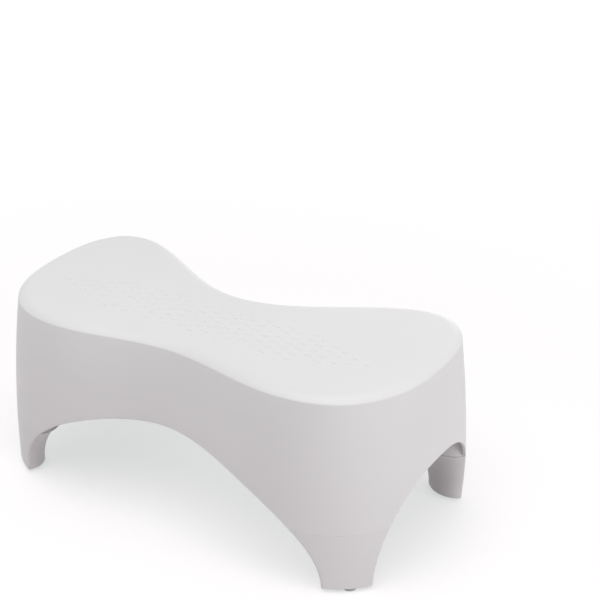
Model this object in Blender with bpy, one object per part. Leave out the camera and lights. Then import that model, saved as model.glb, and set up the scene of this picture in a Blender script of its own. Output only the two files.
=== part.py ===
"""A toilet footstool: a kidney-shaped moulded shell standing on four plug-in feet.

X runs along the stool, +Y points to the deep notch that goes round the toilet's base,
and Z is up from the floor. Everything is in metres.
"""
import math

import bmesh
import bpy
import numpy as np

# Plan of the rim, seen from above; its length follows from the front arch and the legs beside it
RIM_DEPTH = 0.2170
FRONT_WAIST = 0.0910
BACK_WAIST = 0.0355

# Points of half the outline from the front waist to the back waist. X is a share of half the
# length. Y is a share of the way out from the waist on the flanks, and of half the depth on the lobe.
FRONT_FLANK_SHARES = ((0.27, 0.50),)
LOBE_SHARES = (
    (0.54, -1.00), (0.80, -0.85), (0.96, -0.39), (1.00, 0.17), (0.965, 0.72), (0.88, 0.94), (0.75, 0.995),
)
BACK_FLANK_SHARES = ((0.62, 0.87), (0.38, 0.44), (0.14, 0.07))

# Heights
OVERALL_HEIGHT = 0.1976
SEAM_HEIGHT = 0.0644
SOLE_HEIGHT = 0.0044

# Rolled rim: a round from the flat top down to a crisp edge
ROLL_WIDTH = 0.0115
ROLL_DROP = 0.0055

# The skirt spreads out in a bow from the rim down to the feet, most at the ends and least at the front
END_FLARE = 0.0204
END_BELLY_HEIGHT = 0.0016
END_BOW_POWER = 1.57
FRONT_FLARE = 0.0125
BACK_FLARE = 0.0164
SIDE_BELLY_HEIGHT = 0.0116
SIDE_BOW_POWER = 2.40

# Openings between the legs, as half spans at the floor and heights at the crown
FRONT_ARCH_HALF_SPAN = 0.1786
FRONT_LEG_REACH = 0.0459
BACK_ARCH_EXTRA = 0.0148
LONG_ARCH_HEIGHT = 0.1146
LONG_ARCH_POWER = 2.0
END_ARCH_HALF_SPAN = 0.0861
END_ARCH_HEIGHT = 0.1075
END_ARCH_MIDDLE = 0.0065
END_ARCH_POWER = 2.58

# Moulded walls
SKIRT_WALL = 0.0030
TOP_WALL = 0.0030
RIB_WALL = 0.0022
RIB_DEPTH = 0.0050
RIB_FIELDS = 10
LONG_RIB_PLACES = (-0.0670, -0.0220, 0.0230, 0.0680)

# Legs: how far a leg bulges inwards from the line between its two tips
LEG_BULGE_AT_SOLE = 0.0188
LEG_BULGE_AT_SEAM = 0.0320
LEG_BULGE_GROWTH = 1.25
LONG_SIDE_POWER = 2.2
END_SIDE_POWER = 1.8
COLUMN_STEP = 0.0015
SOCKET_INSET = 0.0042
SOCKET_ROOF_WALL = 0.0060

# Feet
SPIGOT_LENGTH = 0.0150
SPIGOT_WALL = 0.0022
SPIGOT_LEAD = 0.0008
FOOT_FLOOR = 0.0048
FOOT_EDGE = 0.0006
SEAM_EDGE = 0.0004

# Rubber pads under the feet
PAD_RADIUS = 0.0070
PAD_THICKNESS = 0.0060
PAD_EDGE_DISTANCE = 0.0012
PAD_PLACE_SHARE = 0.57
PAD_BEVEL = 0.0006

# Anti-slip grooves in the top: short dashes in staggered columns over a long six-sided field
DASH_LENGTH = 0.0085
DASH_WIDTH = 0.0019
DASH_DEPTH = 0.0004
DASH_DRAFT = 0.0003
DASH_COLUMN_PITCH = 0.0130
DASH_ROW_PITCH = 0.0110
DASH_FIELD_END_MARGIN = 0.0505
DASH_FIELD_HALF_DEPTH = 0.0295
DASH_FIELD_TAPER = 0.0697
DASH_FIELD_MIDDLE = -0.0290

# Fits and cutters
CLEARANCE = 0.0003
OVERRUN = 0.0100
SINK = 0.0004

# Edges sharper than this show as edges
SHARP_ANGLE = math.radians(30)

# Facets
OUTLINE_STEPS = 1536
SHELL_POINTS = 128
SKIRT_LEVELS = 6
ROLL_STEPS = 5
ARCH_STEPS = 56
LEG_ARC_POINTS = 16
LEG_BULGE_POINTS = 16
FOOT_LEVELS = 5
PAD_SEGMENTS = 32

# Worked out from the sizes above
HALF_LENGTH = FRONT_ARCH_HALF_SPAN + FRONT_LEG_REACH
HALF_DEPTH = RIM_DEPTH / 2
BACK_ARCH_HALF_SPAN = FRONT_ARCH_HALF_SPAN + BACK_ARCH_EXTRA
RIB_SPACING = 2 * HALF_LENGTH / RIB_FIELDS
DASH_FIELD_HALF_LENGTH = HALF_LENGTH - DASH_FIELD_END_MARGIN
RIM_HEIGHT = OVERALL_HEIGHT - ROLL_DROP
FOOT_TOP = SEAM_HEIGHT - CLEARANCE
SPIGOT_TOP = SEAM_HEIGHT + SPIGOT_LENGTH
UNDERSIDE = OVERALL_HEIGHT - TOP_WALL
SOCKET_ROOF = UNDERSIDE - SOCKET_ROOF_WALL
SPIGOT_INSET = SOCKET_INSET + CLEARANCE
HOLLOW_INSET = SPIGOT_INSET + SPIGOT_WALL


def clear_scene():
    """Remove whatever the file held."""
    for thing in list(bpy.data.objects):
        bpy.data.objects.remove(thing, do_unlink=True)


def plastic(name, colour, roughness):
    """A plain moulded material."""
    material = bpy.data.materials.new(name)
    material.use_nodes = True
    shader = material.node_tree.nodes["Principled BSDF"]
    shader.inputs["Base Color"].default_value = (*colour, 1.0)
    shader.inputs["Roughness"].default_value = roughness
    shader.inputs["Metallic"].default_value = 0.0
    material.diffuse_color = (*colour, 1.0)
    return material


def half_outline():
    """The rim's chosen points from the front waist round the right lobe to the back waist."""
    points = [(0.0, -FRONT_WAIST)]
    for along, out in FRONT_FLANK_SHARES:
        points.append((along * HALF_LENGTH, -FRONT_WAIST - out * (HALF_DEPTH - FRONT_WAIST)))
    for along, across in LOBE_SHARES:
        points.append((along * HALF_LENGTH, across * HALF_DEPTH))
    for along, out in BACK_FLANK_SHARES:
        points.append((along * HALF_LENGTH, BACK_WAIST + out * (HALF_DEPTH - BACK_WAIST)))
    points.append((0.0, BACK_WAIST))
    return points


def closed_spline(points, steps):
    """A smooth closed curve through the points, as `steps` points evenly spaced along it."""
    knots = np.array(points)
    count = len(knots)
    spans = np.hypot(*(np.roll(knots, -1, axis=0) - knots).T)
    matrix = np.zeros((count, count))
    right_side = np.zeros((count, 2))
    for i in range(count):
        before, after = spans[i - 1], spans[i]
        following = (i + 1) % count
        matrix[i, i - 1] += before
        matrix[i, i] += 2 * (before + after)
        matrix[i, following] += after
        bend = (knots[following] - knots[i]) / after - (knots[i] - knots[i - 1]) / before
        right_side[i] = 6 * bend
    moments = np.linalg.solve(matrix, right_side)
    curve = []
    for i in range(count):
        following, span = (i + 1) % count, spans[i]
        for step in np.linspace(0.0, span, steps // count + 1)[:-1]:
            rest = span - step
            cubic = (moments[i] * rest ** 3 + moments[following] * step ** 3) / (6 * span)
            start = (knots[i] / span - moments[i] * span / 6) * rest
            end = (knots[following] / span - moments[following] * span / 6) * step
            curve.append(cubic + start + end)
    curve = np.array(curve + [curve[0]])
    lengths = np.concatenate([[0.0], np.cumsum(np.hypot(*np.diff(curve, axis=0).T))])
    even = np.linspace(0.0, lengths[-1], steps + 1)[:-1]
    return np.stack([np.interp(even, lengths, curve[:, axis]) for axis in (0, 1)], axis=1)


def outward(curve):
    """Unit vectors square to a closed curve that runs counter-clockwise, pointing out."""
    along = np.roll(curve, -1, axis=0) - np.roll(curve, 1, axis=0)
    across = np.stack([along[:, 1], -along[:, 0]], axis=1)
    return across / np.hypot(*across.T)[:, None]


def rim_curve():
    """The whole rim: the right half's points and their mirror images."""
    right = half_outline()
    left = [(-x, y) for x, y in reversed(right[1:-1])]
    return closed_spline(right + left, OUTLINE_STEPS)


RIM = rim_curve()
RIM_OUT = outward(RIM)


def flare(height, size, belly, power):
    """How far a side of the skirt stands out from the rim at a height."""
    way_up = abs(min(height, RIM_HEIGHT) - belly) / (RIM_HEIGHT - belly)
    return size * (1 - way_up ** power)


def skirt(height, inset=0.0):
    """The skirt's outline at a height, drawn in by an inset."""
    along = flare(height, END_FLARE, END_BELLY_HEIGHT, END_BOW_POWER)
    front = flare(height, FRONT_FLARE, SIDE_BELLY_HEIGHT, SIDE_BOW_POWER)
    back = flare(height, BACK_FLARE, SIDE_BELLY_HEIGHT, SIDE_BOW_POWER)
    across = np.where(RIM_OUT[:, 1] < 0.0, front, back)
    spread = np.column_stack([np.full(len(RIM), along), across])
    return RIM + RIM_OUT * (spread - inset)


def at_height(outline, height):
    """A flat outline as points in space."""
    return [(float(x), float(y), float(height)) for x, y in outline]


def shell_ring(height, inset=0.0):
    """The skirt's outline with the shell's own number of points."""
    return at_height(skirt(height, inset)[:: OUTLINE_STEPS // SHELL_POINTS], height)


def volume(faces):
    """The signed volume inside some faces, positive when they point out."""
    total = 0.0
    for face in faces:
        corners = [vert.co for vert in face.verts]
        for second, third in zip(corners[1:-1], corners[2:]):
            total += corners[0].dot(second.cross(third)) / 6
    return total


def loft(mesh, rings):
    """Join rings of equal count into one closed body, cap both ends and turn its faces out."""
    layers = [[mesh.verts.new(point) for point in ring] for ring in rings]
    faces = []
    for lower, upper in zip(layers[:-1], layers[1:]):
        for i in range(len(lower)):
            j = (i + 1) % len(lower)
            faces.append(mesh.faces.new((lower[i], lower[j], upper[j], upper[i])))
    faces.append(mesh.faces.new(list(reversed(layers[0]))))
    faces.append(mesh.faces.new(layers[-1]))
    if volume(faces) < 0.0:
        bmesh.ops.reverse_faces(mesh, faces=faces)


def make_object(name, mesh, material=None, place=(0.0, 0.0, 0.0)):
    """Turn a bmesh into a named object with its origin at a place."""
    bmesh.ops.translate(mesh, verts=mesh.verts[:], vec=[-part for part in place])
    data = bpy.data.meshes.new(name)
    mesh.to_mesh(data)
    mesh.free()
    thing = bpy.data.objects.new(name, data)
    thing.location = place
    bpy.context.collection.objects.link(thing)
    if material:
        data.materials.append(material)
    return thing


def guide(name, mesh):
    """An object that only cuts or joins others."""
    thing = make_object(name, mesh)
    thing.hide_render = True
    thing.display_type = "WIRE"
    return thing


def boolean(thing, other, operation):
    """Add a live Boolean modifier."""
    modifier = thing.modifiers.new(f"{operation.lower()}_{other.name}", "BOOLEAN")
    modifier.operation = operation
    modifier.object = other
    modifier.solver = "EXACT"


def finish(thing):
    """Apply the modifiers, and shade round sides smooth and the edges between sides sharp."""
    bpy.context.view_layer.update()
    graph = bpy.context.evaluated_depsgraph_get()
    data = bpy.data.meshes.new_from_object(thing.evaluated_get(graph))
    thing.modifiers.clear()
    thing.data = data
    data.shade_smooth()
    data.set_sharp_from_angle(angle=SHARP_ANGLE)


def roll_profile():
    """Inset and height of each line round the rolled rim, from its edge up to the flat top."""
    radius = (ROLL_WIDTH ** 2 + ROLL_DROP ** 2) / (2 * ROLL_DROP)
    steepest = math.asin(ROLL_WIDTH / radius)
    lines = []
    for step in range(ROLL_STEPS + 1):
        slope = steepest * (1 - step / ROLL_STEPS)
        height = OVERALL_HEIGHT - radius * (1 - math.cos(slope))
        lines.append((ROLL_WIDTH - radius * math.sin(slope), height))
    return lines


def shell_blank():
    """The whole outside of the shell as one solid, from the seam to the flat top."""
    rings = [shell_ring(height) for height in np.linspace(SEAM_HEIGHT, RIM_HEIGHT, SKIRT_LEVELS)[:-1]]
    rings += [shell_ring(height, inset) for inset, height in roll_profile()]
    mesh = bmesh.new()
    loft(mesh, rings)
    return mesh


def cavity():
    """The space under the top, inside the skirt."""
    heights = np.linspace(SEAM_HEIGHT - OVERRUN, RIM_HEIGHT - SKIRT_WALL, SKIRT_LEVELS - 1)
    rings = [shell_ring(height, SKIRT_WALL) for height in heights]
    rings.append(shell_ring(UNDERSIDE, SKIRT_WALL + ROLL_WIDTH / 2))
    mesh = bmesh.new()
    loft(mesh, rings)
    return mesh


def arch_profile(half_span, crown, power):
    """Half width and height of points along an arch, from one foot over the crown to the other."""
    points = []
    for step in range(ARCH_STEPS + 1):
        turn = math.pi * step / ARCH_STEPS
        wide = math.copysign(abs(math.cos(turn)) ** (2 / power), math.cos(turn))
        points.append((half_span * wide, crown * math.sin(turn)))
    points[-1] = (-half_span, 0.0)
    return [(half_span, -OVERRUN), *points, (-half_span, -OVERRUN)]


def long_arch():
    """The openings between the legs at the front and, wider, at the back, which meet in the middle."""
    reach = HALF_DEPTH + BACK_FLARE + OVERRUN
    front = arch_profile(FRONT_ARCH_HALF_SPAN, LONG_ARCH_HEIGHT, LONG_ARCH_POWER)
    back = arch_profile(BACK_ARCH_HALF_SPAN, LONG_ARCH_HEIGHT, LONG_ARCH_POWER)
    mesh = bmesh.new()
    rings = []
    for y, profile in ((-reach, front), (0.0, front), (OVERRUN, back), (reach, back)):
        rings.append([(x, y, z) for x, z in profile])
    loft(mesh, rings)
    return mesh


def end_arch():
    """The opening between the legs at one end, carried through to the other."""
    reach = HALF_LENGTH + END_FLARE + OVERRUN
    profile = arch_profile(END_ARCH_HALF_SPAN, END_ARCH_HEIGHT, END_ARCH_POWER)
    mesh = bmesh.new()
    loft(mesh, [[(x, END_ARCH_MIDDLE + y, z) for y, z in profile] for x in (-reach, reach)])
    return mesh


def arch_half_width(half_span, crown, power, height):
    """How wide half an arch is at a height."""
    return half_span * (1 - (height / crown) ** 2) ** (1 / power)


def crossing(values, level, first, last):
    """Where a run of values passes a level, as a fractional index."""
    for i in range(first, last):
        here, after = values[i] - level, values[i + 1] - level
        if here * after <= 0 and here != after:
            return i + here / (here - after)
    return float(last)


def leg_span(side, height):
    """The leg's two tips as places along the skirt's outline: at the long arch and at the end arch."""
    height = min(height, SEAM_HEIGHT)
    outline = skirt(height)
    half_span = FRONT_ARCH_HALF_SPAN if side == "front" else BACK_ARCH_HALF_SPAN
    half_width = arch_half_width(half_span, LONG_ARCH_HEIGHT, LONG_ARCH_POWER, height)
    reach = arch_half_width(END_ARCH_HALF_SPAN, END_ARCH_HEIGHT, END_ARCH_POWER, height)
    quarter = OUTLINE_STEPS // 4
    end = int(np.argmax(outline[:, 0]))
    if side == "front":
        at_arch = crossing(outline[:, 0], half_width, 0, end)
        at_end = crossing(outline[:, 1], END_ARCH_MIDDLE - reach, quarter // 2, end + quarter // 2)
        return at_arch, at_end
    at_end = crossing(outline[:, 1], END_ARCH_MIDDLE + reach, quarter // 2, 2 * quarter)
    at_arch = crossing(outline[:, 0], half_width, end, 2 * quarter)
    return at_end, at_arch


def leg_bulge(height):
    """How far the leg bulges inwards at a height up to the seam."""
    share = (min(height, SEAM_HEIGHT) - SOLE_HEIGHT) / (SEAM_HEIGHT - SOLE_HEIGHT)
    return LEG_BULGE_AT_SOLE + share ** LEG_BULGE_GROWTH * (LEG_BULGE_AT_SEAM - LEG_BULGE_AT_SOLE)


def along_outline(outline, places):
    """Points at fractional places along a closed outline."""
    index = np.arange(len(outline))
    return np.stack([np.interp(places, index, outline[:, axis]) for axis in (0, 1)], axis=1)


def leg_section(side, height, inset=0.0):
    """A right leg's outline at a height: the skirt outside and a round bulge inside.

    Above the seam the outer side follows the skirt inwards and the bulge stays upright.
    """
    first, last = leg_span(side, height)
    outer = along_outline(skirt(height), np.linspace(first, last, LEG_ARC_POINTS + 1))
    chord = outer[0] - outer[-1]
    inwards = np.array([chord[1], -chord[0]]) / np.hypot(*chord)
    bulge = leg_bulge(height)
    if height > SEAM_HEIGHT:
        at_seam = along_outline(skirt(SEAM_HEIGHT), np.array([first, last]))
        middle_shift = (outer[0] + outer[-1]) / 2 - at_seam.mean(axis=0)
        bulge -= float(middle_shift @ inwards)
    inner = []
    for step in range(1, LEG_BULGE_POINTS):
        turn = math.pi * step / LEG_BULGE_POINTS
        near_end = (math.cos(turn) > 0.0) == (side == "front")
        power = END_SIDE_POWER if near_end else LONG_SIDE_POWER
        along = math.copysign(abs(math.cos(turn)) ** (2 / power), math.cos(turn))
        deep = math.sin(turn) ** (2 / power)
        inner.append((outer[0] + outer[-1]) / 2 - chord / 2 * along + inwards * bulge * deep)
    return draw_in(np.vstack([outer, inner]), inset)


def draw_in(polygon, distance):
    """Move each side of a counter-clockwise polygon inwards and meet the sides again."""
    if distance == 0.0:
        return polygon
    sides = np.roll(polygon, -1, axis=0) - polygon
    normals = np.stack([-sides[:, 1], sides[:, 0]], axis=1) / np.hypot(*sides.T)[:, None]
    before = np.roll(normals, 1, axis=0)
    middle = before + normals
    lengths = (middle ** 2).sum(axis=1)
    return polygon + distance * 2 * middle / lengths[:, None]


def mirrored(ring, hand):
    """The same ring on the left or the right of the stool."""
    return [(hand * x, y, z) for x, y, z in ring]


def columns():
    """Four hollow-to-be columns that carry the top on the feet."""
    heights = np.linspace(SEAM_HEIGHT, RIM_HEIGHT, SKIRT_LEVELS)
    mesh = bmesh.new()
    for side in ("front", "rear"):
        sections = [(height, leg_section(side, height, COLUMN_STEP)) for height in heights]
        foot = (SEAM_HEIGHT - OVERRUN - SKIRT_WALL, sections[0][1])
        head = (OVERALL_HEIGHT + OVERRUN, sections[-1][1])
        for hand in (-1, 1):
            rings = [at_height(flat, height) for height, flat in (foot, *sections[1:], head)]
            loft(mesh, [mirrored(ring, hand) for ring in rings])
    return mesh


def sockets():
    """The hollows in the columns, which the feet plug into."""
    heights = np.linspace(SEAM_HEIGHT, SOCKET_ROOF, SKIRT_LEVELS)
    mesh = bmesh.new()
    for side in ("front", "rear"):
        sections = [(height, leg_section(side, height, SOCKET_INSET)) for height in heights]
        mouth = (SEAM_HEIGHT - OVERRUN, sections[0][1])
        for hand in (-1, 1):
            loft(mesh, [mirrored(at_height(flat, height), hand) for height, flat in (mouth, *sections)])
    return mesh


def box(mesh, low, high):
    """A block between two corners."""
    rings = []
    for height in (low[2], high[2]):
        rings.append([(low[0], low[1], height), (high[0], low[1], height),
                      (high[0], high[1], height), (low[0], high[1], height)])
    loft(mesh, rings)


def cross_ribs():
    """Stiffening ribs under the top, from front to back."""
    reach = HALF_DEPTH + OVERRUN
    mesh = bmesh.new()
    for place in range(1, RIB_FIELDS):
        middle = place * RIB_SPACING - HALF_LENGTH
        box(mesh, (middle - RIB_WALL / 2, -reach, UNDERSIDE - RIB_DEPTH),
            (middle + RIB_WALL / 2, reach, OVERALL_HEIGHT + OVERRUN))
    return mesh


def long_ribs():
    """Stiffening ribs under the top, from end to end."""
    reach = HALF_LENGTH + OVERRUN
    mesh = bmesh.new()
    for middle in LONG_RIB_PLACES:
        box(mesh, (-reach, middle - RIB_WALL / 2, UNDERSIDE - RIB_DEPTH),
            (reach, middle + RIB_WALL / 2, OVERALL_HEIGHT + OVERRUN + SINK))
    return mesh


def dash_places():
    """Middles of the anti-slip grooves, every second column half a row further on."""
    places = []
    columns_each_side = int(DASH_FIELD_HALF_LENGTH / DASH_COLUMN_PITCH)
    rows_each_side = int(DASH_FIELD_HALF_DEPTH / DASH_ROW_PITCH) + 1
    for column in range(-columns_each_side, columns_each_side + 1):
        x = column * DASH_COLUMN_PITCH
        room = min(1.0, (DASH_FIELD_HALF_LENGTH - abs(x)) / DASH_FIELD_TAPER) * DASH_FIELD_HALF_DEPTH
        for row in range(-rows_each_side, rows_each_side + 1):
            y = (row + (0.5 if column % 2 == 0 else 0.0)) * DASH_ROW_PITCH
            if abs(y) <= room:
                places.append((x, DASH_FIELD_MIDDLE + y))
    return places


def dashes():
    """The shallow grooves' shape, with drafted sides, from their floors to above the flat top."""
    mesh = bmesh.new()
    for x, y in dash_places():
        rings = []
        for height, draw in ((OVERALL_HEIGHT - DASH_DEPTH, DASH_DRAFT), (OVERALL_HEIGHT + SINK, 0.0)):
            long, wide = DASH_LENGTH / 2 - draw, DASH_WIDTH / 2 - draw
            rings.append([(x - long, y - wide, height), (x + long, y - wide, height),
                          (x + long, y + wide, height), (x - long, y + wide, height)])
        loft(mesh, rings)
    return mesh


def make_shell(material):
    """The moulded top, skirt, arches, columns and ribs in one piece."""
    shell = make_object("body_shell", shell_blank(), material)
    space = guide("space_inside", cavity())
    for name, mesh, operation in (
        ("long_arch", long_arch(), "UNION"),
        ("end_arch", end_arch(), "UNION"),
        ("columns", columns(), "DIFFERENCE"),
        ("cross_ribs", cross_ribs(), "DIFFERENCE"),
        ("long_ribs", long_ribs(), "DIFFERENCE"),
    ):
        boolean(space, guide(name, mesh), operation)
    boolean(shell, space, "DIFFERENCE")
    boolean(shell, guide("sockets", sockets()), "DIFFERENCE")
    boolean(shell, guide("dashes", dashes()), "DIFFERENCE")
    finish(shell)


def foot_rings(side):
    """A foot from its sole up round the spigot and down again inside."""
    spigot = leg_section(side, SPIGOT_TOP, SPIGOT_INSET)
    spigot_tip = leg_section(side, SPIGOT_TOP, SPIGOT_INSET + SPIGOT_LEAD / 2)
    bore = leg_section(side, SPIGOT_TOP, HOLLOW_INSET)
    floor = SOLE_HEIGHT + FOOT_FLOOR
    rings = [at_height(leg_section(side, SOLE_HEIGHT, FOOT_EDGE), SOLE_HEIGHT)]
    for height in np.linspace(SOLE_HEIGHT + FOOT_EDGE, FOOT_TOP - SEAM_EDGE, FOOT_LEVELS):
        rings.append(at_height(leg_section(side, height), height))
    rings.append(at_height(leg_section(side, FOOT_TOP, SEAM_EDGE), FOOT_TOP))
    rings.append(at_height(spigot, FOOT_TOP))
    rings.append(at_height(spigot, SPIGOT_TOP - SPIGOT_LEAD))
    rings.append(at_height(spigot_tip, SPIGOT_TOP))
    rings.append(at_height(bore, SPIGOT_TOP))
    rings.append(at_height(bore, FOOT_TOP))
    for height in np.linspace(FOOT_TOP - FOOT_FLOOR, floor, FOOT_LEVELS - 1):
        rings.append(at_height(leg_section(side, height, HOLLOW_INSET), height))
    return rings


def pad_place(side, hand):
    """The middle of a foot's pad, just inside the sole's outer edge, nearer the end arch."""
    first, last = leg_span(side, SOLE_HEIGHT)
    share = PAD_PLACE_SHARE if side == "front" else 1 - PAD_PLACE_SHARE
    middle = np.array([first + share * (last - first)])
    edge = along_outline(skirt(SOLE_HEIGHT, FOOT_EDGE), middle)[0]
    out = along_outline(RIM_OUT, middle)[0]
    x, y = edge - out / np.hypot(*out) * (PAD_EDGE_DISTANCE + PAD_RADIUS)
    return hand * x, y


def disc(mesh, centre, radius, low, high, bevel=0.0):
    """A round post, its lower edge bevelled when asked."""
    levels = [(low, radius - bevel)] + ([(low + bevel, radius)] if bevel else []) + [(high, radius)]
    rings = []
    for height, size in levels:
        turns = [2 * math.pi * step / PAD_SEGMENTS for step in range(PAD_SEGMENTS)]
        rings.append([(centre[0] + size * math.cos(turn), centre[1] + size * math.sin(turn), height)
                      for turn in turns])
    loft(mesh, rings)


def leg_axis(side, hand):
    """The upright line that a foot slides on, as its point at the seam."""
    x, y = leg_section(side, SEAM_HEIGHT).mean(axis=0)
    return float(hand * x), float(y), SEAM_HEIGHT


def make_foot(name, side, hand, material):
    """One hollow foot with its spigot on top and a shallow seat for the pad below."""
    mesh = bmesh.new()
    loft(mesh, [mirrored(ring, hand) for ring in foot_rings(side)])
    foot = make_object(name, mesh, material, leg_axis(side, hand))
    seat = bmesh.new()
    disc(seat, pad_place(side, hand), PAD_RADIUS + CLEARANCE, -OVERRUN, PAD_THICKNESS + CLEARANCE)
    boolean(foot, guide(f"seat_of_{name}", seat), "DIFFERENCE")
    finish(foot)
    return foot


def make_pad(name, side, hand, foot, material):
    """One round rubber pad, standing a little below its foot's sole."""
    x, y = pad_place(side, hand)
    mesh = bmesh.new()
    disc(mesh, (x, y), PAD_RADIUS, 0.0, PAD_THICKNESS, PAD_BEVEL)
    pad = make_object(name, mesh, material, (x, y, 0.0))
    pad.parent = foot
    pad.location = pad.location - foot.location
    finish(pad)


def build():
    """Make the whole stool."""
    clear_scene()
    white = plastic("white_plastic", (0.78, 0.77, 0.78), 0.42)
    foot_white = plastic("foot_plastic", (0.76, 0.75, 0.76), 0.42)
    rubber = plastic("grey_rubber", (0.12, 0.12, 0.12), 0.8)
    make_shell(white)
    for side in ("front", "rear"):
        for where, hand in (("left", -1), ("right", 1)):
            foot = make_foot(f"{side}_{where}_foot", side, hand, foot_white)
            make_pad(f"{side}_{where}_pad", side, hand, foot, rubber)


build()
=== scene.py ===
"""The toilet footstool dressed for its picture: a fine moulded body, four feet and their rubber pads.

Metres, X along the stool, +Y to the deep notch at the back, Z up from the floor.
"""
import math

import bmesh
import bpy
import numpy as np
from mathutils import Matrix, Vector


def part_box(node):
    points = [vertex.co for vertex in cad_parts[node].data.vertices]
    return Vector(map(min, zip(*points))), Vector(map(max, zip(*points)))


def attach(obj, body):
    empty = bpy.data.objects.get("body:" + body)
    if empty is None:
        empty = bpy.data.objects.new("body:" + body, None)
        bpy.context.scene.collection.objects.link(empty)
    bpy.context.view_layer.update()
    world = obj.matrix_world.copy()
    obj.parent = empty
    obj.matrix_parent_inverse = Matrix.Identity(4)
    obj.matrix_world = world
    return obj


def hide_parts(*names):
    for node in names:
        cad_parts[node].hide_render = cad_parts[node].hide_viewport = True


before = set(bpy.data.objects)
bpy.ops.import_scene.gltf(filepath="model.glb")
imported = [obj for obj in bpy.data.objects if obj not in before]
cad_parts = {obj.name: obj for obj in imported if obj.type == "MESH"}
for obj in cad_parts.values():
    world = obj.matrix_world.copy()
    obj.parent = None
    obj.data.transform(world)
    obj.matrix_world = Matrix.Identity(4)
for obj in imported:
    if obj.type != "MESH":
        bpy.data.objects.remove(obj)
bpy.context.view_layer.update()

# Plan of the rim: sizes, and points of half the outline as shares of half the length and depth
RIM_LENGTH = 0.4490
RIM_DEPTH = 0.2170
FRONT_WAIST = 0.0910
BACK_WAIST = 0.0355
FRONT_FLANK_SHARES = ((0.27, 0.50),)
LOBE_SHARES = (
    (0.54, -1.00), (0.80, -0.85), (0.96, -0.39), (1.00, 0.17), (0.965, 0.72), (0.88, 0.94), (0.75, 0.995),
)
BACK_FLANK_SHARES = ((0.62, 0.87), (0.38, 0.44), (0.14, 0.07))

# Heights and the roll of the rim
TOP = 0.1976
SEAM = 0.0644
SOLE = 0.0040
ROLL_WIDTH = 0.0115
ROLL_DROP = 0.0055
RIM_HEIGHT = TOP - ROLL_DROP

# The skirt's spread at the ends, the front and the back: size, height of the belly, power
END_SPREAD = (0.0204, 0.0016, 1.57)
FRONT_SPREAD = (0.0125, 0.0116, 2.40)
BACK_SPREAD = (0.0164, 0.0116, 2.40)

# Arches: half span at the floor, height of the crown, middle, power
FRONT_ARCH = (0.1786, 0.1146, 0.0, 2.0)
BACK_ARCH = (0.1934, 0.1146, 0.0, 2.0)
END_ARCH = (0.0861, 0.1082, 0.0065, 2.50)

# The legs' inner bulge and their rounded tips
BULGE_AT_SOLE = 0.0212
BULGE_AT_SEAM = 0.0320
BULGE_GROWTH = 2.0
TIP_ROUND_AT_SOLE = 0.0024
TIP_ROUND_AT_SEAM = 0.0016
LONG_SIDE_POWER = 2.27
END_SIDE_POWER = 1.8

# The body's wall, and the round on its edges, smaller at the seam
WALL = 0.0030
BODY_ROUND = 0.0009
SEAM_GAP = 0.00012
SEAM_ROUND = 0.0003

# Hollow columns above the feet, leaning in under the roll and sunk into the top's wall
COLUMN_STEP = 0.0015
COLUMN_WALL = 0.0027
COLUMN_ROOF = TOP - 0.8 * WALL
COLUMN_ROOF_INSET = COLUMN_STEP + ROLL_WIDTH / 3
COLUMN_ROUND = 0.0004

# Ribs under the top, their corners cut off along the roll of the rim
RIB_WALL = 0.0022
RIB_DEPTH = 0.0050
RIB_BOTTOM = TOP - WALL - RIB_DEPTH
RIB_FIELDS = 10
RIB_SPACING = RIM_LENGTH / RIB_FIELDS
CROSS_RIBS_EACH_SIDE = RIB_FIELDS // 2 - 1
LONG_RIB_PLACES = (-0.0670, -0.0220, 0.0230, 0.0680)
RIB_CORNER_DROP = 0.0012
RIB_ROUND = 0.0003

# Feet
SPIGOT_LENGTH = 0.0150
SPIGOT_WALL = 0.0022
SPIGOT_TOP = SEAM + SPIGOT_LENGTH
SPIGOT_INSET = 0.0045
BORE_INSET = SPIGOT_INSET + SPIGOT_WALL
FOOT_FLOOR = 0.0048
SOLE_ROUND = 0.0009
LEDGE_ROUND = 0.0012

# Pads, with the place and width of the ring in their face as shares of the radius
PAD_GAP = 0.0002
PAD_ROUND = 0.0003
PAD_RING_INSET_SHARE = 0.35
PAD_RING_WIDTH_SHARE = 0.14
PAD_RING_DEPTH = 0.0004

# Grooves in the top, short as dashes
DASH_LENGTH = 0.0085
DASH_WIDTH = 0.0019
DASH_DEPTH = 0.0005
DASH_COLUMN_PITCH = 0.0130
DASH_ROW_PITCH = 0.0110
DASH_ROWS_EACH_SIDE = 4
DASH_FIELD_HALF_LENGTH = 0.1740
DASH_FIELD_HALF_DEPTH = 0.0295
DASH_FIELD_TAPER = 0.0697
DASH_FIELD_MIDDLE = -0.0290

# A groove's profile from just above the top down to its floor, as shares of its width and depth
DASH_PROFILE = ((1.10, -0.15), (1.0, 0.0), (0.94, 0.30), (0.86, 0.66), (0.72, 0.92), (0.45, 1.0))

# Fineness of the meshes
OUTLINE_STEPS = 3072
STEPS_PER_STATION = 6
SKIRT_ROWS = 18
ROLL_ROWS = 8
COLUMN_ROWS = 8
FOOT_ROWS = 10
BORE_ROWS = 4
LEG_STEPS = 26
FINE_LEG_STEPS = 4 * LEG_STEPS
TIP_STEPS = 5
EDGE_STEPS = 5
DASH_STEPS = 12
PAD_STEPS = 64

# Rounds that find an arch's edge, what counts as a fold or a level face, and the finest distances
SETTLING_ROUNDS = 30
FOLD_SHARE = 0.97
MERGE_DISTANCE = 0.00001
CUT_TOLERANCE = 0.000001
LEVEL_FACE = 0.9

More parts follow.
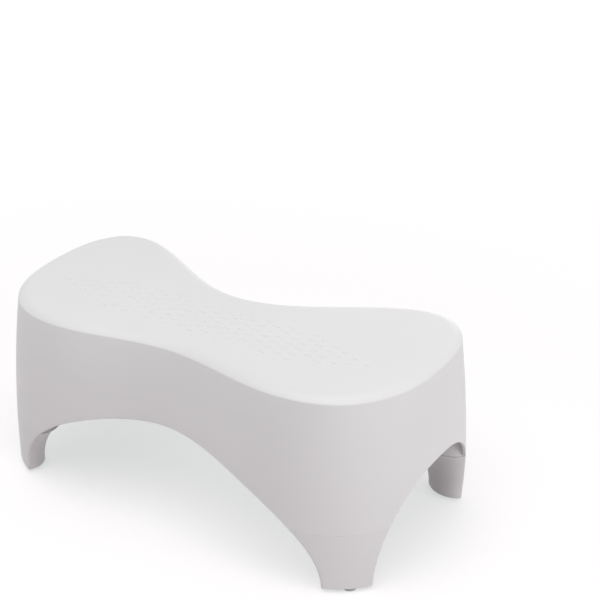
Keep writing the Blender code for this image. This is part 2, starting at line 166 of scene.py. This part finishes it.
# Colours of the plastics and the rubber
BODY_PALE = (0.80, 0.795, 0.80)
BODY_SHADE = (0.785, 0.78, 0.785)
FOOT_PALE = (0.785, 0.78, 0.785)
FOOT_SHADE = (0.77, 0.765, 0.77)
RUBBER_PALE = (0.60, 0.59, 0.60)
RUBBER_SHADE = (0.50, 0.49, 0.50)

# How fine the patterns in the materials are, as a noise's scale for metres, and how deep the grain is
CLOUD_SCALE = 9.0
GLOSS_SCALE = 55.0
GRAIN_SCALE = 1500.0
SPECK_SCALE = 900.0
GRAIN_DEPTH = 0.0001

# Floor: size, colours, and its own glow near the stool and far off, where the lamps don't reach
FLOOR_SIZE = 14.0
FLOOR_COLOUR = (0.56, 0.50, 0.515)
GLOW_COLOUR = (0.94, 1.0, 0.985)
GLOW_NEAR = 0.56
GLOW_FAR = 0.80
GLOW_STARTS = 0.5
GLOW_ENDS = 2.5

# Light: the daylight's level, and each lamp's name, place, target, size, power and whether gloss mirrors it
DAYLIGHT = 0.48
LAMPS = (
    ("overhead", (0.1, -0.6, 1.9), (0.0, 0.0, 0.1), 1.8, 17.5, True),
    ("right_side", (2.0, 0.0, 0.32), (0.1, 0.0, 0.1), 1.0, 11.5, False),
    ("left_side", (-1.5, -1.6, 0.9), (0.0, 0.0, 0.1), 1.4, 2.5, True),
    ("back_side", (-0.5, 2.3, 0.6), (0.0, 0.0, 0.1), 1.4, 6.0, True),
)

# Camera: place, degrees round to the right and up, lens in millimetres and shift
CAMERA_PLACE = (0.52773, -0.78911, 0.65732)
CAMERA_AZIMUTH = 32.71
CAMERA_ELEVATION = 31.39
CAMERA_SENSOR = 36.0
CAMERA_LENS = 64.8
CAMERA_SHIFT = (0.0983, 0.1883)


def half_outline():
    """Points of the rim from the front waist round the right lobe to the back waist."""
    half_length, half_depth = RIM_LENGTH / 2, RIM_DEPTH / 2
    front_room, back_room = half_depth - FRONT_WAIST, half_depth - BACK_WAIST
    points = [(0.0, -FRONT_WAIST)]
    points += [(a * half_length, -FRONT_WAIST - o * front_room) for a, o in FRONT_FLANK_SHARES]
    points += [(a * half_length, c * half_depth) for a, c in LOBE_SHARES]
    points += [(a * half_length, BACK_WAIST + o * back_room) for a, o in BACK_FLANK_SHARES]
    return points + [(0.0, BACK_WAIST)]


def closed_spline(points, steps):
    """A smooth closed curve through the points, evenly spaced."""
    knots = np.array(points)
    count = len(knots)
    spans = np.hypot(*(np.roll(knots, -1, axis=0) - knots).T)
    matrix = np.zeros((count, count))
    bends = np.zeros((count, 2))
    for i in range(count):
        before, after, following = spans[i - 1], spans[i], (i + 1) % count
        matrix[i, i - 1] += before
        matrix[i, i] += 2 * (before + after)
        matrix[i, following] += after
        bends[i] = 6 * ((knots[following] - knots[i]) / after - (knots[i] - knots[i - 1]) / before)
    moments = np.linalg.solve(matrix, bends)
    curve = []
    for i in range(count):
        following, span = (i + 1) % count, spans[i]
        for step in np.linspace(0.0, span, steps // count + 1)[:-1]:
            rest = span - step
            cubic = (moments[i] * rest ** 3 + moments[following] * step ** 3) / (6 * span)
            start = (knots[i] / span - moments[i] * span / 6) * rest
            end = (knots[following] / span - moments[following] * span / 6) * step
            curve.append(cubic + start + end)
    curve = np.array(curve + [curve[0]])
    lengths = np.concatenate([[0.0], np.cumsum(np.hypot(*np.diff(curve, axis=0).T))])
    even = np.linspace(0.0, lengths[-1], steps + 1)[:-1]
    return np.stack([np.interp(even, lengths, curve[:, axis]) for axis in (0, 1)], axis=1)


def rim_curve():
    """The closed outline of the rim, its left half the mirror image of the right one."""
    half = half_outline()
    return closed_spline(half + [(-x, y) for x, y in reversed(half[1:-1])], OUTLINE_STEPS)


def outward(curve):
    """Directions straight out of a closed curve."""
    along = np.roll(curve, -1, axis=0) - np.roll(curve, 1, axis=0)
    return np.stack([along[:, 1], -along[:, 0]], axis=1) / np.hypot(*along.T)[:, None]


RIM = rim_curve()
RIM_OUT = outward(RIM)


def points_at(curve, places):
    """Points at fractional places round a closed curve."""
    index = np.arange(OUTLINE_STEPS + 1)
    closed = np.vstack([curve, curve[:1]])
    return np.stack([np.interp(places, index, closed[:, axis]) for axis in (0, 1)], axis=1)


def spread(out, heights):
    """How far the skirt stands out of the rim along and across the stool, for directions and heights."""
    heights = np.minimum(heights, RIM_HEIGHT)
    along, front, back = (size * (1 - (abs(heights - belly) / (RIM_HEIGHT - belly)) ** power)
                          for size, belly, power in (END_SPREAD, FRONT_SPREAD, BACK_SPREAD))
    across = np.where(out[:, 1] < 0.0, front, back)
    return np.column_stack(np.broadcast_arrays(along, across))


def skirt_at(places, heights, inset=0.0):
    """Points on the skirt at places round it, each at its own height."""
    out = points_at(RIM_OUT, places)
    return points_at(RIM, places) + out * (spread(out, np.array(heights)) - inset)


def outline_at(height):
    """The whole outline of the skirt at a height."""
    return RIM + RIM_OUT * spread(RIM_OUT, height)


def crown_over(arch, offset):
    """The arch's height at a distance from its middle."""
    half_span, crown, _, power = arch
    share = min(1.0, abs(offset) / half_span)
    return crown * math.sqrt(1 - share ** power)


def half_width(arch, height):
    """Half the arch's width at a height."""
    half_span, crown, _, power = arch
    return half_span * (1 - (height / crown) ** 2) ** (1 / power)


def crossing(values, level, first, last):
    """Where a run of values passes a level, as a fractional index."""
    for i in range(first, last):
        here, after = values[i] - level, values[i + 1] - level
        if here * after <= 0 and here != after:
            return i + here / (here - after)
    return float(last)


def leg_span(side, height):
    """A right leg's two tips as places round the skirt."""
    height = min(height, SEAM)
    outline = outline_at(height)
    quarter = OUTLINE_STEPS // 4
    end = int(np.argmax(outline[:, 0]))
    middle, reach = END_ARCH[2], half_width(END_ARCH, height)
    if side == "front":
        return (crossing(outline[:, 0], half_width(FRONT_ARCH, height), 0, end),
                crossing(outline[:, 1], middle - reach, quarter // 2, end + quarter // 2))
    return (crossing(outline[:, 1], middle + reach, quarter // 2, 2 * quarter),
            crossing(outline[:, 0], half_width(BACK_ARCH, height), end, 2 * quarter))


def stations():
    """Places round the skirt, one of them at each tip of a leg, and the arch that each is over, if any."""
    front_first, front_last = leg_span("front", SEAM)
    rear_first, rear_last = leg_span("rear", SEAM)
    total = OUTLINE_STEPS
    stretches = (
        (-front_first, front_first, FRONT_ARCH), (front_first, front_last, None),
        (front_last, rear_first, END_ARCH), (rear_first, rear_last, None),
        (rear_last, total - rear_last, BACK_ARCH), (total - rear_last, total - rear_first, None),
        (total - rear_first, total - front_last, END_ARCH), (total - front_last, total - front_first, None),
    )
    places, arches = [], []
    for first, last, arch in stretches:
        count = round((last - first) / STEPS_PER_STATION)
        for step in range(count):
            places.append((first + step / count * (last - first)) % total)
            arches.append(arch if step > 0 else None)
    return np.array(places), arches


def lower_edge(place, arch):
    """How high the skirt's lower edge is at a place: on the arch, or at the seam."""
    if arch is None:
        return SEAM
    height = SEAM
    for _ in range(SETTLING_ROUNDS):
        x, y = skirt_at(np.array([place]), [height])[0]
        offset = y - arch[2] if arch is END_ARCH else x
        height = (height + max(SEAM, crown_over(arch, offset))) / 2
    return height


def body_rows():
    """Rows of points round the body, from its lower edge up the skirt and over the roll of the rim."""
    places, arches = stations()
    low = np.array([lower_edge(place, arch) for place, arch in zip(places, arches)])
    rows = []
    for row in range(SKIRT_ROWS + 1):
        heights = low + (RIM_HEIGHT - low) * row / SKIRT_ROWS
        rows.append(np.column_stack([skirt_at(places, heights), heights]))
    radius = (ROLL_WIDTH ** 2 + ROLL_DROP ** 2) / (2 * ROLL_DROP)
    steepest = math.asin(ROLL_WIDTH / radius)
    for row in range(1, ROLL_ROWS + 1):
        slope = steepest * (1 - row / ROLL_ROWS)
        height = TOP - radius * (1 - math.cos(slope))
        inset = ROLL_WIDTH - radius * math.sin(slope)
        flat = skirt_at(places, [RIM_HEIGHT] * len(places), inset)
        rows.append(np.column_stack([flat, np.full(len(places), height)]))
    flat = skirt_at(places, [RIM_HEIGHT] * len(places), ROLL_WIDTH + WALL)
    rows.append(np.column_stack([flat, np.full(len(places), TOP)]))
    return rows


def inset_line(polygon, inset):
    """A closed line moved inwards, straight across where its sides would cross."""
    following = np.roll(polygon, -1, axis=0)
    sides = following - polygon
    normals = np.stack([-sides[:, 1], sides[:, 0]], axis=1) / np.hypot(*sides.T)[:, None]
    middle = np.roll(normals, 1, axis=0) + normals
    inset = np.broadcast_to(inset, len(polygon))
    moved = polygon + (inset * 2 / (middle ** 2).sum(axis=1))[:, None] * middle
    way = moved[:, None, :] - polygon[None, :, :]
    share = np.clip((way * sides).sum(axis=2) / (sides ** 2).sum(axis=1), 0.0, 1.0)
    gaps = np.hypot(*(way - share[:, :, None] * sides).transpose(2, 0, 1)).min(axis=1)
    index = np.arange(len(polygon))
    sound = gaps > FOLD_SHARE * inset - MERGE_DISTANCE
    return np.stack([np.interp(index, index[sound], moved[sound, axis], period=len(polygon))
                     for axis in (0, 1)], axis=1)


def stretch_of(line, start, stop, count):
    """Evenly spaced points along a line, leaving out a length at its start and at its end."""
    lengths = np.concatenate([[0.0], np.cumsum(np.hypot(*np.diff(line, axis=0).T))])
    even = np.linspace(start, lengths[-1] - stop, count)
    return np.stack([np.interp(even, lengths, line[:, axis]) for axis in (0, 1)], axis=1)


def bend_round(start, tip, end):
    """Points between start and end on a bend that rounds off a tip."""
    way = (np.arange(TIP_STEPS) + 1)[:, None] / (TIP_STEPS + 1)
    return (1 - way) ** 2 * start + 2 * way * (1 - way) * tip + way ** 2 * end


def leg_section(side, height, inset=0.0):
    """A right leg's outline at a height: the skirt outside, a round bulge inside and rounded tips."""
    first, last = leg_span(side, height)
    places = np.linspace(first, last, FINE_LEG_STEPS + 1)
    outer = skirt_at(places, [height] * len(places))
    middle, chord = (outer[0] + outer[-1]) / 2, outer[0] - outer[-1]
    inwards = np.array([chord[1], -chord[0]]) / np.hypot(*chord)
    share = (min(height, SEAM) - SOLE) / (SEAM - SOLE)
    bulge = BULGE_AT_SOLE + share ** BULGE_GROWTH * (BULGE_AT_SEAM - BULGE_AT_SOLE)
    if height > SEAM:
        tips = skirt_at(np.array([first, last]), [SEAM, SEAM])
        bulge -= float((middle - tips.mean(axis=0)) @ inwards)
    inner = []
    for step in range(FINE_LEG_STEPS + 1):
        turn = math.pi * step / FINE_LEG_STEPS
        near_end = (math.cos(turn) > 0.0) == (side == "front")
        power = END_SIDE_POWER if near_end else LONG_SIDE_POWER
        along = math.copysign(abs(math.cos(turn)) ** (2 / power), math.cos(turn))
        inner.append(middle - chord / 2 * along + inwards * bulge * abs(math.sin(turn)) ** (2 / power))
    cut = TIP_ROUND_AT_SOLE + share * (TIP_ROUND_AT_SEAM - TIP_ROUND_AT_SOLE)
    outside = stretch_of(outer, cut, cut, LEG_STEPS + 1)
    inside = stretch_of(np.array(inner), cut, cut, LEG_STEPS + 1)
    last_tip = bend_round(outside[-1], outer[-1], inside[0])
    first_tip = bend_round(inside[-1], outer[0], outside[0])
    return inset_line(np.vstack([outside, last_tip, inside, first_tip]), inset)


def leg_ring(side, hand, height, inset=0.0, level=None):
    """A leg's outline in space, on the left (-1) or the right (1), drawn at a height or moved to a level."""
    flat = leg_section(side, height, inset)
    return [(hand * x, y, height if level is None else level) for x, y in flat]


def alone(piece):
    """Select one piece and nothing else."""
    bpy.ops.object.select_all(action="DESELECT")
    piece.select_set(True)
    bpy.context.view_layer.objects.active = piece


def join(piece, others):
    """Join other pieces into one."""
    alone(piece)
    for other in others:
        other.select_set(True)
    bpy.ops.object.join()


def finish_with(piece, kind, **settings):
    """Add a modifier with these settings and apply it."""
    alone(piece)
    modifier = piece.modifiers.new(kind.lower(), kind)
    for setting, value in settings.items():
        setattr(modifier, setting, value)
    bpy.ops.object.modifier_apply(modifier=modifier.name)


def cut_out(piece, cutter):
    """Cut a shape out of a piece and throw the shape away."""
    finish_with(piece, "BOOLEAN", object=cutter, operation="DIFFERENCE", solver="EXACT")
    bpy.data.objects.remove(cutter)


def soften(piece, width, degrees=25, segments=3, seam_width=None):
    """Round every edge that turns by more than some degrees, and the edges at the seam by less."""
    mesh = bmesh.new()
    mesh.from_mesh(piece.data)
    weights = mesh.edges.layers.float.new("bevel_weight_edge")
    for edge in mesh.edges:
        if edge.is_manifold and edge.calc_face_angle() > math.radians(degrees):
            at_seam = all(abs(vert.co.z - SEAM) < SEAM_GAP for vert in edge.verts)
            edge[weights] = seam_width / width if seam_width and at_seam else 1.0
    mesh.to_mesh(piece.data)
    mesh.free()
    finish_with(piece, "BEVEL", width=width, segments=segments, limit_method="WEIGHT", use_clamp_overlap=True)


def smooth(piece, degrees=30):
    """Shade round sides smooth, leave true edges sharp and keep large faces flat beside rounded edges."""
    alone(piece)
    bpy.ops.object.shade_smooth_by_angle(angle=math.radians(degrees))
    finish_with(piece, "WEIGHTED_NORMAL", keep_sharp=True)


def wrapped(name, rings, fill):
    """A grid bent round into a tube through rings of points, then closed at its "top" or at both "ends"."""
    columns = len(rings[0])
    bpy.ops.object.select_all(action="DESELECT")
    bpy.ops.mesh.primitive_grid_add(x_subdivisions=columns, y_subdivisions=len(rings) - 1, size=1)
    piece = bpy.context.object
    piece.name = piece.data.name = name
    points = [ring[i % columns] for ring in rings for i in range(columns + 1)]
    piece.data.vertices.foreach_set("co", np.array(points).ravel())
    bpy.ops.object.mode_set(mode="EDIT")
    bpy.ops.mesh.select_all(action="SELECT")
    bpy.ops.mesh.remove_doubles(threshold=MERGE_DISTANCE)
    bpy.ops.mesh.select_all(action="DESELECT")
    mesh = bmesh.from_edit_mesh(piece.data)
    top = max(vert.co.z for vert in mesh.verts)
    for edge in mesh.edges:
        wanted = fill == "ends" or min(vert.co.z for vert in edge.verts) > top - WALL / 10
        edge.select_set(edge.is_boundary and wanted)
    bmesh.update_edit_mesh(piece.data)
    if fill == "ends":
        bpy.ops.mesh.fill_holes(sides=0)
    else:
        bpy.ops.mesh.edge_face_add()
    bpy.ops.mesh.select_all(action="SELECT")
    bpy.ops.mesh.normals_make_consistent(inside=False)
    bpy.ops.object.mode_set(mode="OBJECT")
    return piece


def leg_columns():
    """The four hollow columns inside the skirt, which the feet plug into."""
    columns = []
    for side in ("front", "rear"):
        for hand in (-1, 1):
            rings = []
            for height in np.linspace(RIB_BOTTOM, SEAM, COLUMN_ROWS):
                rings.append(leg_ring(side, hand, height, COLUMN_STEP + COLUMN_WALL))
            for height in np.linspace(SEAM, RIM_HEIGHT, COLUMN_ROWS):
                rings.append(leg_ring(side, hand, height, COLUMN_STEP))
            rings.append(leg_ring(side, hand, RIM_HEIGHT, COLUMN_ROOF_INSET, COLUMN_ROOF))
            column = wrapped("column", rings, "ends")
            soften(column, COLUMN_ROUND, degrees=40, segments=2, seam_width=SEAM_GAP)
            columns.append(column)
    return columns


def rib_ends(axis, place):
    """Where a straight line under the top meets the skirt, in pairs, and how slantwise it meets it."""
    outline = outline_at(RIB_BOTTOM)
    here = outline[:, axis] - place
    after = np.roll(here, -1)
    meets = []
    for i in np.flatnonzero(here * after < 0):
        share = here[i] / (here[i] - after[i])
        along = outline[i, 1 - axis], outline[(i + 1) % OUTLINE_STEPS, 1 - axis]
        meets.append((along[0] + share * (along[1] - along[0]), 1 / abs(RIM_OUT[i, 1 - axis])))
    meets.sort()
    return list(zip(meets[0::2], meets[1::2]))


def rib(axis, place, start, stop):
    """A bar under the top from wall to wall, its upper corners cut off under the roll of the rim."""
    low, high = [0.0, 0.0, RIB_BOTTOM], [0.0, 0.0, TOP - WALL / 2]
    low[axis], high[axis] = place - RIB_WALL / 2, place + RIB_WALL / 2
    low[1 - axis] = start[0] + WALL / 2 * start[1]
    high[1 - axis] = stop[0] - WALL / 2 * stop[1]
    bpy.ops.object.select_all(action="DESELECT")
    bpy.ops.mesh.primitive_cube_add(size=1, location=[(a + b) / 2 for a, b in zip(low, high)],
                                    scale=[b - a for a, b in zip(low, high)])
    bar = bpy.context.object
    bar.name = bar.data.name = "rib"
    bpy.ops.object.transform_apply(location=True, rotation=True, scale=True)
    bpy.ops.object.mode_set(mode="EDIT")
    for end, slant, way in ((low, start[1], -1), (high, stop[1], 1)):
        corner = Vector((end[0], end[1], RIM_HEIGHT - RIB_CORNER_DROP))
        upwards = Vector((0.0, 0.0, (ROLL_WIDTH - WALL) * slant))
        upwards[1 - axis] = way * ROLL_DROP
        bpy.ops.mesh.select_all(action="SELECT")
        bpy.ops.mesh.bisect(plane_co=corner, plane_no=upwards.normalized(), clear_outer=True, use_fill=True,
                            threshold=CUT_TOLERANCE)
    bpy.ops.object.mode_set(mode="OBJECT")
    soften(bar, RIB_ROUND, segments=2)
    return bar


def ribs():
    """The grid of stiffening ribs under the top."""
    lines = [(0, place * RIB_SPACING) for place in range(-CROSS_RIBS_EACH_SIDE, CROSS_RIBS_EACH_SIDE + 1)]
    lines += [(1, place) for place in LONG_RIB_PLACES]
    return [rib(axis, place, start, stop) for axis, place in lines for start, stop in rib_ends(axis, place)]


def dash_places():
    """Middles of the grooves, every second column half a row further on."""
    places = []
    reach = int(DASH_FIELD_HALF_LENGTH / DASH_COLUMN_PITCH)
    for column in range(-reach, reach + 1):
        x = column * DASH_COLUMN_PITCH
        room = min(1.0, (DASH_FIELD_HALF_LENGTH - abs(x)) / DASH_FIELD_TAPER) * DASH_FIELD_HALF_DEPTH
        for row in range(-DASH_ROWS_EACH_SIDE, DASH_ROWS_EACH_SIDE + 1):
            y = (row + (0.5 if column % 2 == 0 else 0.0)) * DASH_ROW_PITCH
            if abs(y) <= room:
                places.append((x, DASH_FIELD_MIDDLE + y))
    return places


def groove_cutter():
    """One bar that is copied to every groove's place: wide above the top, hollowed down to its floor."""
    rings = []
    for share, fall in DASH_PROFILE:
        long, wide = DASH_LENGTH / 2 - DASH_WIDTH / 2 * (1 - share), DASH_WIDTH / 2 * share
        ring = []
        for step in range(DASH_STEPS):
            turn = 2 * math.pi * (step + 0.5) / DASH_STEPS
            side = math.copysign(long - wide, math.cos(turn))
            ring.append((side + wide * math.cos(turn), wide * math.sin(turn), TOP - DASH_DEPTH * fall))
        rings.append(ring)
    first = wrapped("grooves", rings, "ends")
    copies = []
    for x, y in dash_places():
        copy = first.copy()
        copy.data = first.data.copy()
        bpy.context.collection.objects.link(copy)
        copy.data.transform(Matrix.Translation((x, y, 0.0)))
        copies.append(copy)
    bpy.data.objects.remove(first)
    join(copies[0], copies[1:])
    return copies[0]


def moulded_body():
    """The top, the skirt with its arches, the columns and the ribs, as one moulding."""
    body = wrapped("moulded_body", body_rows(), "top")
    finish_with(body, "SOLIDIFY", thickness=WALL, offset=-1.0, use_even_offset=True)
    for vert in body.data.vertices:
        vert.co.z = max(vert.co.z, SEAM)
    soften(body, BODY_ROUND, seam_width=SEAM_ROUND)
    cut_out(body, groove_cutter())
    smooth(body)
    inner = leg_columns() + ribs()
    for piece in inner:
        smooth(piece)
    join(body, inner)
    return body


def foot_rings(side, hand):
    """Rings of a foot: its sole, its outside, the shoulder and the spigot, then down inside to its floor."""
    top = SEAM - SEAM_GAP
    rings = []
    for step in range(EDGE_STEPS):
        turn = math.pi / 2 * step / EDGE_STEPS
        inset, rise = SOLE_ROUND * (1 - math.sin(turn)), SOLE_ROUND * (1 - math.cos(turn))
        rings.append(leg_ring(side, hand, SOLE, inset, SOLE + rise))
    for height in np.linspace(SOLE + SOLE_ROUND, top - LEDGE_ROUND, FOOT_ROWS):
        rings.append(leg_ring(side, hand, height))
    inside = np.concatenate([np.zeros(LEG_STEPS + 1), np.linspace(0.0, 1.0, TIP_STEPS + 2)[1:-1],
                             np.ones(LEG_STEPS + 1), np.linspace(1.0, 0.0, TIP_STEPS + 2)[1:-1]])
    rounds = SEAM_ROUND + inside * (LEDGE_ROUND - SEAM_ROUND)
    for step in range(EDGE_STEPS + 1):
        turn = math.pi / 2 * step / EDGE_STEPS
        line = leg_section(side, top, rounds * (1 - math.cos(turn)))
        rings.append([(hand * x, y, top - r * (1 - math.sin(turn))) for (x, y), r in zip(line, rounds)])
    spigot = (
        (SPIGOT_INSET, top), (SPIGOT_INSET, SPIGOT_TOP - SEAM_ROUND), (SPIGOT_INSET + SEAM_ROUND, SPIGOT_TOP),
        (BORE_INSET - SEAM_ROUND, SPIGOT_TOP), (BORE_INSET, SPIGOT_TOP - SEAM_ROUND), (BORE_INSET, top),
    )
    rings += [leg_ring(side, hand, SPIGOT_TOP, inset, level) for inset, level in spigot]
    for height in np.linspace(top - FOOT_FLOOR, SOLE + FOOT_FLOOR, BORE_ROWS):
        rings.append(leg_ring(side, hand, height, BORE_INSET))
    return rings


def foot(side, hand, name, low, high):
    """One plug-in foot with a seat in its sole for the pad, whose lowest and highest corners are given."""
    piece = wrapped(name, foot_rings(side, hand), "ends")
    bpy.ops.object.select_all(action="DESELECT")
    bpy.ops.mesh.primitive_cylinder_add(vertices=PAD_STEPS, radius=(high[0] - low[0]) / 2 + PAD_GAP,
                                        depth=2 * high[2] + PAD_GAP,
                                        location=((low[0] + high[0]) / 2, (low[1] + high[1]) / 2, 0.0))
    cut_out(piece, bpy.context.object)
    smooth(piece)
    return piece


def pad(name, low, high):
    """A round rubber pad with rounded edges and a shallow ring moulded into its face."""
    radius = (high[0] - low[0]) / 2
    bpy.ops.object.select_all(action="DESELECT")
    bpy.ops.mesh.primitive_cylinder_add(vertices=PAD_STEPS, radius=radius, depth=high[2] - low[2],
                                        location=[(a + b) / 2 for a, b in zip(low, high)])
    piece = bpy.context.object
    piece.name = piece.data.name = name
    bpy.ops.object.transform_apply(location=True, rotation=True, scale=True)
    bpy.ops.object.mode_set(mode="EDIT")
    bpy.ops.mesh.select_all(action="DESELECT")
    mesh = bmesh.from_edit_mesh(piece.data)
    for face in mesh.faces:
        face.select_set(face.normal.z < -LEVEL_FACE)
    bmesh.update_edit_mesh(piece.data)
    bpy.ops.mesh.inset(thickness=radius * PAD_RING_INSET_SHARE)
    bpy.ops.mesh.inset(thickness=radius * PAD_RING_WIDTH_SHARE)
    bpy.ops.transform.translate(value=(0, 0, PAD_RING_DEPTH))
    bpy.ops.object.mode_set(mode="OBJECT")
    soften(piece, PAD_ROUND, degrees=40, segments=2)
    smooth(piece)
    return piece


def node(tree, kind, **inputs):
    """A shader node with some of its inputs set."""
    made = tree.nodes.new(kind)
    for name, value in inputs.items():
        made.inputs[name.replace("_", " ")].default_value = value
    return made


def calculated(tree, operation, *values):
    """A maths node on values, each the output of another node or a plain number."""
    made = tree.nodes.new("ShaderNodeMath")
    made.operation = operation
    for socket, value in zip(made.inputs, values):
        if isinstance(value, float):
            socket.default_value = value
        else:
            tree.links.new(value, socket)
    return made.outputs["Value"]


def new_material(name, mirror_level):
    """A material that mirrors at a level, with its nodes, its shader and the object's own coordinates."""
    material = bpy.data.materials.new(name)
    material.use_nodes = True
    tree = material.node_tree
    shader = tree.nodes["Principled BSDF"]
    shader.inputs["Specular IOR Level"].default_value = mirror_level
    place = tree.nodes.new("ShaderNodeTexCoord")
    return material, tree, shader, place.outputs["Object"]


def noise(tree, place, scale, detail, roughness):
    """A noise over the object's own coordinates."""
    made = node(tree, "ShaderNodeTexNoise", Scale=scale, Detail=detail, Roughness=roughness)
    tree.links.new(place, made.inputs["Vector"])
    return made.outputs["Fac"]


def tone(tree, shader, value, low, shade, high, pale):
    """Colour a shader from a shade at a low value to a paler one at a high value."""
    ramp = tree.nodes.new("ShaderNodeValToRGB")
    for stop, position, colour in zip(ramp.color_ramp.elements, (low, high), (shade, pale)):
        stop.position = position
        stop.color = (*colour, 1.0)
    tree.links.new(value, ramp.inputs["Fac"])
    tree.links.new(ramp.outputs["Color"], shader.inputs["Base Color"])


def grain(tree, shader, value, strength):
    """Give a shader the fine relief of a value."""
    relief = node(tree, "ShaderNodeBump", Strength=strength, Distance=GRAIN_DEPTH)
    tree.links.new(value, relief.inputs["Height"])
    tree.links.new(relief.outputs["Normal"], shader.inputs["Normal"])


def moulded_plastic(name, pale, shade, rough_low, rough_high, grain_strength):
    """Matte moulded plastic: a faint cloud of two tones, a fine grain and a slightly uneven gloss."""
    material, tree, shader, place = new_material(name, mirror_level=0.42)
    cloud = noise(tree, place, CLOUD_SCALE, detail=3.0, roughness=0.5)
    tone(tree, shader, cloud, low=0.35, shade=shade, high=0.65, pale=pale)
    patches = noise(tree, place, GLOSS_SCALE, detail=4.0, roughness=0.6)
    gloss = node(tree, "ShaderNodeMapRange", To_Min=rough_low, To_Max=rough_high)
    tree.links.new(patches, gloss.inputs["Value"])
    tree.links.new(gloss.outputs["Result"], shader.inputs["Roughness"])
    fine = noise(tree, place, GRAIN_SCALE, detail=2.0, roughness=0.6)
    grain(tree, shader, fine, grain_strength)
    return material


def dull_rubber():
    """Dull pale grey rubber with a dusting of paler specks."""
    material, tree, shader, place = new_material("dull_rubber", mirror_level=0.3)
    specks = noise(tree, place, SPECK_SCALE, detail=3.0, roughness=0.7)
    tone(tree, shader, specks, low=0.4, shade=RUBBER_SHADE, high=0.75, pale=RUBBER_PALE)
    shader.inputs["Roughness"].default_value = 0.8
    grain(tree, shader, specks, strength=0.3)
    return material


def coat(piece, material):
    """Give a piece one material all over."""
    piece.data.materials.clear()
    piece.data.materials.append(material)


def seen_directly(tree):
    """One for what the camera sees, also mirrored or through glass, and nothing for light on the stool."""
    rays = tree.nodes.new("ShaderNodeLightPath").outputs
    mirrored = calculated(tree, "MAXIMUM", rays["Is Camera Ray"], rays["Is Glossy Ray"])
    return calculated(tree, "MAXIMUM", mirrored, rays["Is Transmission Ray"])


def floor():
    """A plain floor that keeps the stool's shadow and looks white, also far off."""
    bpy.ops.object.select_all(action="DESELECT")
    bpy.ops.mesh.primitive_plane_add(size=FLOOR_SIZE, location=(0, 0, 0))
    ground = bpy.context.object
    ground.name = "floor"
    material, tree, shader, place = new_material("white_floor", mirror_level=0.0)
    shader.inputs["Base Color"].default_value = (*FLOOR_COLOUR, 1.0)
    shader.inputs["Roughness"].default_value = 0.9
    away = tree.nodes.new("ShaderNodeVectorMath")
    away.operation = "LENGTH"
    tree.links.new(place, away.inputs[0])
    level = node(tree, "ShaderNodeMapRange", From_Min=GLOW_STARTS, From_Max=GLOW_ENDS,
                 To_Min=GLOW_NEAR, To_Max=GLOW_FAR)
    tree.links.new(away.outputs["Value"], level.inputs["Value"])
    glow = node(tree, "ShaderNodeEmission", Color=(*GLOW_COLOUR, 1.0))
    tree.links.new(calculated(tree, "MULTIPLY", seen_directly(tree), level.outputs["Result"]),
                   glow.inputs["Strength"])
    both = tree.nodes.new("ShaderNodeAddShader")
    tree.links.new(shader.outputs["BSDF"], both.inputs[0])
    tree.links.new(glow.outputs["Emission"], both.inputs[1])
    tree.links.new(both.outputs["Shader"], tree.nodes["Material Output"].inputs["Surface"])
    coat(ground, material)


def lamp(name, place, target, size, power, mirrored):
    """A large soft lamp aimed at a point, which shows in the gloss of the plastic or doesn't."""
    data = bpy.data.lights.new(name, "AREA")
    data.shape = "DISK"
    data.size = size
    data.energy = power
    light = bpy.data.objects.new(name, data)
    light.location = place
    aim = np.array(target) - np.array(place)
    flat = math.hypot(aim[0], aim[1])
    light.rotation_euler = (math.pi / 2 + math.atan2(aim[2], flat), 0.0, math.atan2(-aim[0], aim[1]))
    light.visible_glossy = mirrored
    bpy.context.collection.objects.link(light)


def studio():
    """Soft daylight all round and four lamps: above, low at the right, and weak ones left and behind."""
    world = bpy.data.worlds.new("studio")
    world.use_nodes = True
    tree = world.node_tree
    background = tree.nodes["Background"]
    background.inputs["Color"].default_value = (1.0, 1.0, 1.0, 1.0)
    level = calculated(tree, "MAXIMUM", seen_directly(tree), DAYLIGHT)
    tree.links.new(level, background.inputs["Strength"])
    bpy.context.scene.world = world
    for values in LAMPS:
        lamp(*values)


def camera():
    """The view of the photograph."""
    data = bpy.data.cameras.new("view")
    data.sensor_width = CAMERA_SENSOR
    data.lens = CAMERA_LENS
    data.shift_x, data.shift_y = CAMERA_SHIFT
    eye = bpy.data.objects.new("view", data)
    eye.location = CAMERA_PLACE
    eye.rotation_euler = (math.radians(90 - CAMERA_ELEVATION), 0.0, math.radians(CAMERA_AZIMUTH))
    bpy.context.collection.objects.link(eye)
    bpy.context.scene.camera = eye


bpy.context.scene.view_settings.view_transform = "Standard"
camera()
floor()
studio()

body_plastic = moulded_plastic("white_moulding", BODY_PALE, BODY_SHADE,
                               rough_low=0.38, rough_high=0.50, grain_strength=0.10)
foot_plastic = moulded_plastic("foot_moulding", FOOT_PALE, FOOT_SHADE,
                               rough_low=0.40, rough_high=0.52, grain_strength=0.12)
pad_rubber = dull_rubber()

body = moulded_body()
coat(body, body_plastic)
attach(body, "shell")
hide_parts("body_shell")

for side in ("front", "rear"):
    for where, hand in (("left", -1), ("right", 1)):
        corner = f"{side}_{where}"
        low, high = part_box(f"{corner}_pad")
        leg = foot(side, hand, f"{corner}_leg", low, high)
        coat(leg, foot_plastic)
        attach(leg, corner)
        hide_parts(f"{corner}_foot")
        sole = pad(f"{corner}_rubber", low, high)
        coat(sole, pad_rubber)
        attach(sole, corner)
        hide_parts(f"{corner}_pad")
